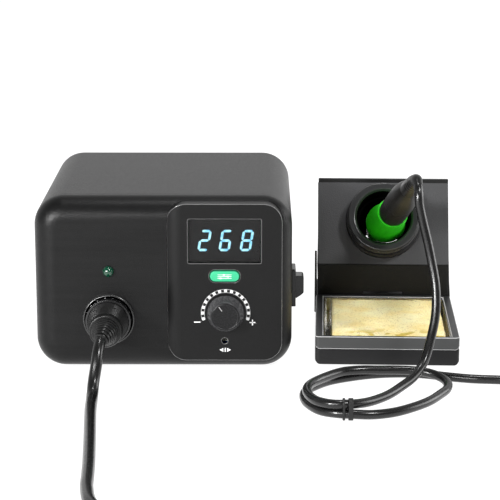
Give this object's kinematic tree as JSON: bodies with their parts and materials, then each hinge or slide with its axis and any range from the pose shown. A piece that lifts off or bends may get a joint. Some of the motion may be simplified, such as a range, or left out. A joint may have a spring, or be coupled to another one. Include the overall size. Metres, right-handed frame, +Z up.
{
  "type": "soldering iron station",
  "caption": "Desktop soldering station: control unit with digital display and temperature knob, iron in a sloping holder with a sponge tray, joined by a lead.",
  "frame": {"origin": "on the table under the middle of the control unit, in the plane of its feet", "axes": "+X to the right seen from the front (from the control unit towards the stand), +Y towards the back, +Z up"},
  "size_m": [0.3054, 0.4219, 0.109],
  "materials": {
    "housing": "fine moulded texture",
    "panel": "fine moulded texture",
    "rubber_foot": "matt",
    "zinc_screw": "zinc plated",
    "smoked_lens": "polished smoked window",
    "black_plastic": "matt moulded",
    "lit_digit": "glowing",
    "board": "solder mask",
    "mint_button": "satin",
    "switch_metal": "tin plated",
    "knob": "satin moulded",
    "shaft_metal": "machined",
    "trimmer_blue": "gloss",
    "trimmer_rotor": "gloss",
    "led_green": "clear tinted dome",
    "socket_plastic": "satin",
    "socket_metal": "nickel plated",
    "plug_rubber": "satin rubber",
    "rocker_gloss": "gloss",
    "core_steel": "laminated",
    "copper_coil": "lacquered winding",
    "bracket_steel": "zinc plated",
    "components": "mixed",
    "heatsink": "extruded",
    "fuse_glass": "clear",
    "ribbon": "matt",
    "stand_black": "semi-matt paint",
    "plate_grey": "textured powder coat",
    "holder_plastic": "satin",
    "guard_steel": "matt black paint",
    "tray_grey": "satin moulded",
    "liner_metal": "bright pressed",
    "sponge_yellow": "cellulose sponge",
    "tip_plating": "plated, heat tinted",
    "barrel_steel": "stainless",
    "heater_white": "alumina",
    "grip_green": "silicone, satin",
    "handle_black": "satin moulded",
    "cord_black": "gloss sheath",
    "tie_black": "coated wire"
  },
  "bodies": {
    "root": {"front_shell": "housing", "upper_shell": "housing", "lower_shell": "housing", "rear_panel": "housing", "station_feet": "rubber_foot", "shell_screws": "zinc_screw", "control_panel": "panel", "display_lens": "smoked_lens", "display_module": "black_plastic", "display_segments": "lit_digit", "control_board": "board", "board_screws": "zinc_screw", "set_switch": "switch_metal", "potentiometer": "shaft_metal", "cal_trimmer": "trimmer_blue", "led_lens": "led_green", "led_holder": "black_plastic", "socket_ring": "socket_plastic", "socket_shell": "socket_metal", "plug_body": "plug_rubber", "plug_boot": "plug_rubber", "switch_housing": "rocker_gloss", "switch_terminals": "switch_metal", "mains_inlet": "black_plastic", "inlet_pins": "switch_metal", "transformer_core": "core_steel", "transformer_winding": "copper_coil", "transformer_bracket": "bracket_steel", "power_board": "board", "board_parts": "components", "heatsink": "heatsink", "fuse": "fuse_glass", "ribbon_cable": "ribbon", "stand_base": "stand_black", "stand_feet": "rubber_foot", "holder_plate": "plate_grey", "plate_screws": "zinc_screw", "holder_ring": "holder_plastic", "guard_tube": "guard_steel", "cord_drop": "cord_black", "cord_run": "cord_black", "cord_tie": "tie_black"},
    "rocker": {"switch_rocker": "rocker_gloss"},
    "knob": {"temp_knob": "knob", "knob_shaft": "shaft_metal"},
    "button": {"set_button": "mint_button", "switch_plunger": "black_plastic"},
    "cal_rotor": {"cal_rotor": "trimmer_rotor"},
    "plug_ring": {"plug_ring": "socket_plastic"},
    "tray": {"sponge_tray": "tray_grey", "tray_liner": "liner_metal"},
    "sponge": {"sponge": "sponge_yellow"},
    "iron": {"iron_tip": "tip_plating", "barrel_nut": "barrel_steel", "iron_barrel": "barrel_steel", "heater": "heater_white", "grip_sleeve": "grip_green", "iron_handle": "handle_black", "handle_cap": "handle_black", "iron_boot": "plug_rubber"}
  },
  "joints": [
    {"name": "power_rocker", "type": "hinge", "parent": "root", "child": "rocker", "pos_m": [0.0695, -0.04, 0.0417], "axis": [0, -1, 0], "range_deg": [0, 22]},
    {"name": "temp_knob_turn", "type": "hinge", "parent": "root", "child": "knob", "pos_m": [0.0335, -0.078, 0.0342], "axis": [0, 1, 0], "range_deg": [-69, 141]},
    {"name": "set_button_press", "type": "slide", "parent": "root", "child": "button", "axis": [0, 1, 0], "range_m": [0, 0.0008], "stiffness_N_per_m": 800},
    {"name": "cal_rotor_turn", "type": "hinge", "parent": "root", "child": "cal_rotor", "pos_m": [0.033, -0.0645, 0.0188], "axis": [0, 1, 0], "range_deg": [-130, 130]},
    {"name": "plug_ring_turn", "type": "hinge", "parent": "root", "child": "plug_ring", "pos_m": [-0.0291, -0.072, 0.0299], "axis": [0, -1, 0], "range_deg": [0, 45]},
    {"name": "iron_lift", "type": "slide", "parent": "root", "child": "iron", "axis": [0.0749, -0.9105, 0.4067], "range_m": [0, 0.085], "deforming": ["cord_drop"]},
    {"name": "tray_lift", "type": "slide", "parent": "root", "child": "tray", "axis": [0, 0, 1], "range_m": [0, 0.014]},
    {"name": "sponge_lift", "type": "slide", "parent": "tray", "child": "sponge", "axis": [0, 0, 1], "range_m": [0, 0.012]}
  ]
}
